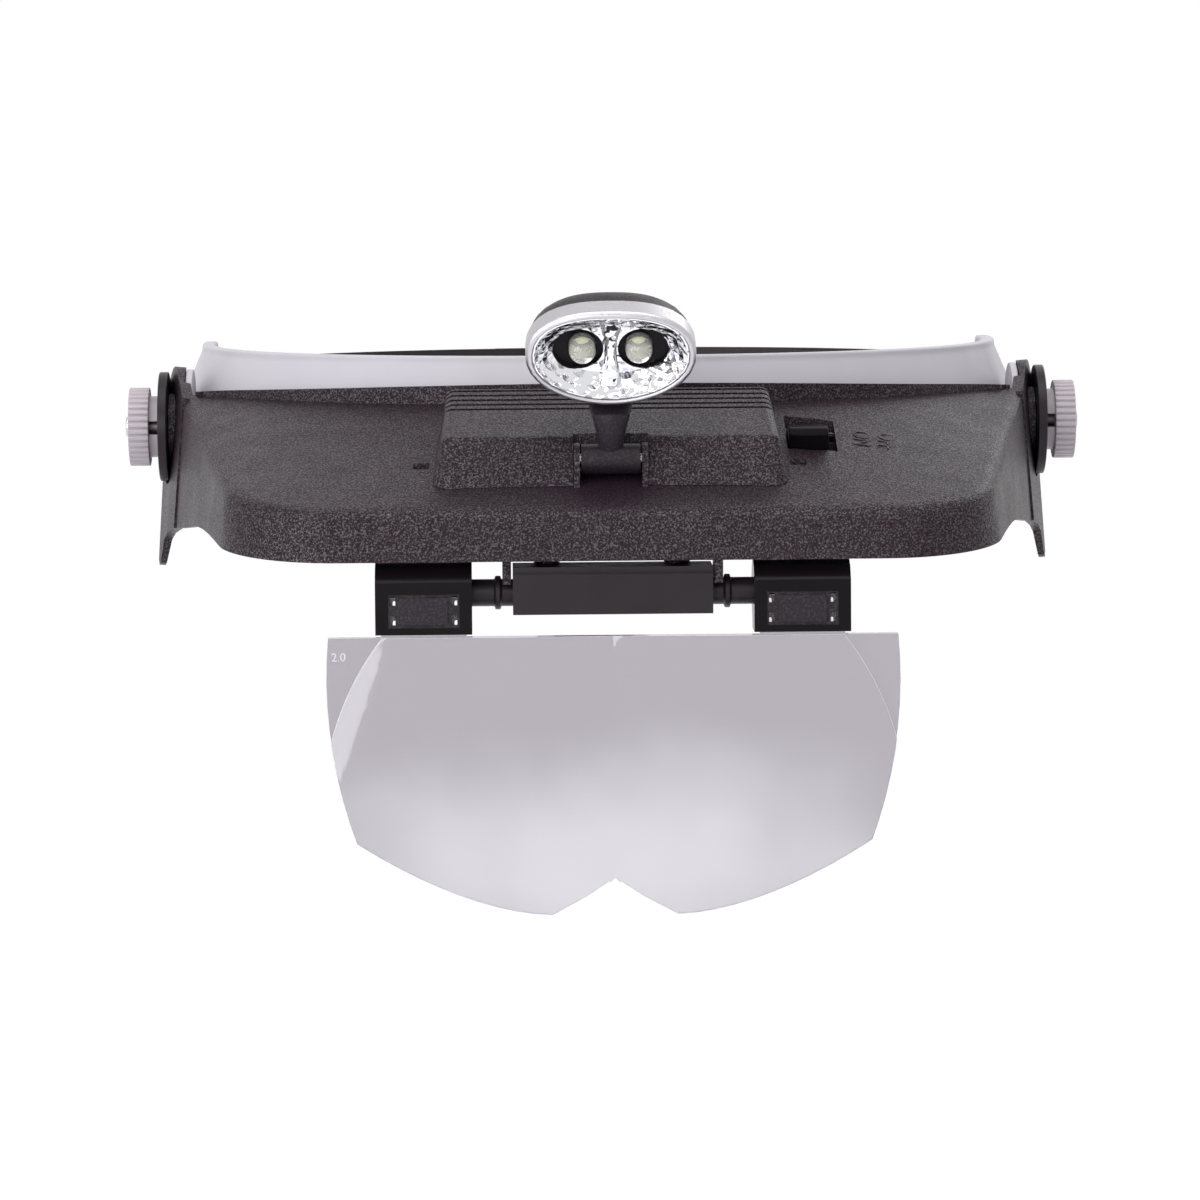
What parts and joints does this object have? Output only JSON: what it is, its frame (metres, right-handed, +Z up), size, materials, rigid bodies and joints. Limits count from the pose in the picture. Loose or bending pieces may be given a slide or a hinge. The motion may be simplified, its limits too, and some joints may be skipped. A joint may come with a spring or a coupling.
{
  "type": "headband magnifier",
  "caption": "Head-worn magnifier: adjustable head ring, tilting hood with a battery lamp, and a clear flip-down lens plate in clips.",
  "frame": {"origin": "centre of the head ring, at the height of the side knobs' axis", "axes": "+X towards the wearer's left, -Y forward in the direction the wearer looks, +Z up; worn level, hood and lens plate lowered"},
  "size_m": [0.1904, 0.2585, 0.1138],
  "materials": {
    "band_plastic": "satin light grey sheet plastic",
    "cushion": "soft foam under woven cloth",
    "strap_plastic": "satin black sheet plastic",
    "black_plastic": "fine-grained black plastic",
    "black_gloss": "smooth black plastic",
    "gear_plastic": "natural nylon",
    "steel": "bright steel",
    "knob_plastic": "satin light grey plastic",
    "brass": "turned brass",
    "cell_jacket": "plain printed jacket",
    "clear_lens": "clear polished acrylic",
    "silver_rim": "satin silver coating",
    "bright_reflector": "bright metallised plastic",
    "circuit_board": "green solder mask",
    "diode_epoxy": "clear epoxy with a pale yellow die"
  },
  "bodies": {
    "headband": {"brow_band": "band_plastic", "forehead_pad": "cushion", "strap_left": "strap_plastic", "strap_right": "strap_plastic", "strap_rivets": "band_plastic", "adjuster_housing": "black_plastic", "adjuster_cover": "black_plastic", "adjuster_screws": "steel", "pivot_pads": "band_plastic", "saddle_washers": "black_plastic", "pivot_bolts": "steel", "friction_discs": "black_plastic"},
    "adjuster": {"adjuster_knob": "black_plastic", "adjuster_pinion": "gear_plastic"},
    "left_knob": {"knob_left": "knob_plastic", "knob_insert_left": "brass"},
    "right_knob": {"knob_right": "knob_plastic", "knob_insert_right": "brass"},
    "visor": {"visor_hood": "black_plastic", "battery_tray": "black_plastic", "tray_screws": "steel", "battery_rear": "cell_jacket", "battery_front": "cell_jacket", "contact_springs": "steel", "contact_plates": "steel", "switch_body": "black_plastic", "lamp_pin": "steel", "rod_bearing": "black_plastic", "bearing_screws": "steel"},
    "cover": {"battery_cover": "black_plastic"},
    "button": {"switch_button": "black_gloss"},
    "lamp": {"lamp_shell_left": "black_plastic", "lamp_shell_right": "black_plastic", "lamp_screw": "steel", "lamp_bezel": "silver_rim", "lamp_reflector": "bright_reflector", "lamp_baffle": "black_gloss", "lamp_board": "circuit_board", "led_left": "diode_epoxy", "led_right": "diode_epoxy"},
    "lens_holder": {"lens_rod": "black_gloss", "clip_left": "black_gloss", "clip_right": "black_gloss"},
    "lens": {"lens_plate": "clear_lens"}
  },
  "joints": [
    {"name": "visor_tilt", "type": "hinge", "parent": "headband", "child": "visor", "pos_m": [0, -0.045, 0], "axis": [-1, 0, 0], "range_deg": [-10, 45]},
    {"name": "adjuster_turn", "type": "hinge", "parent": "headband", "child": "adjuster", "pos_m": [0, 0.097, 0], "axis": [0, 1, 0], "continuous": true},
    {"name": "left_knob_turn", "type": "hinge", "parent": "headband", "child": "left_knob", "pos_m": [0.092, -0.045, 0], "axis": [1, 0, 0], "continuous": true},
    {"name": "right_knob_turn", "type": "hinge", "parent": "headband", "child": "right_knob", "pos_m": [-0.092, -0.045, 0], "axis": [1, 0, 0], "continuous": true},
    {"name": "cover_release", "type": "slide", "parent": "visor", "child": "cover", "axis": [0, 0, 1], "range_m": [0, 0.0035]},
    {"name": "switch_slide", "type": "slide", "parent": "visor", "child": "button", "axis": [1, 0, 0], "range_m": [0, 0.0016]},
    {"name": "lamp_tilt", "type": "hinge", "parent": "visor", "child": "lamp", "pos_m": [0, -0.1325, -0.0023], "axis": [-1, 0, 0], "range_deg": [-30, 25]},
    {"name": "lens_flip", "type": "hinge", "parent": "visor", "child": "lens_holder", "pos_m": [0, -0.1395, -0.0263], "axis": [-1, 0, 0], "range_deg": [0, 85]},
    {"name": "lens_release", "type": "slide", "parent": "lens_holder", "child": "lens", "axis": [0, 0, -1], "range_m": [0, 0.008]}
  ]
}
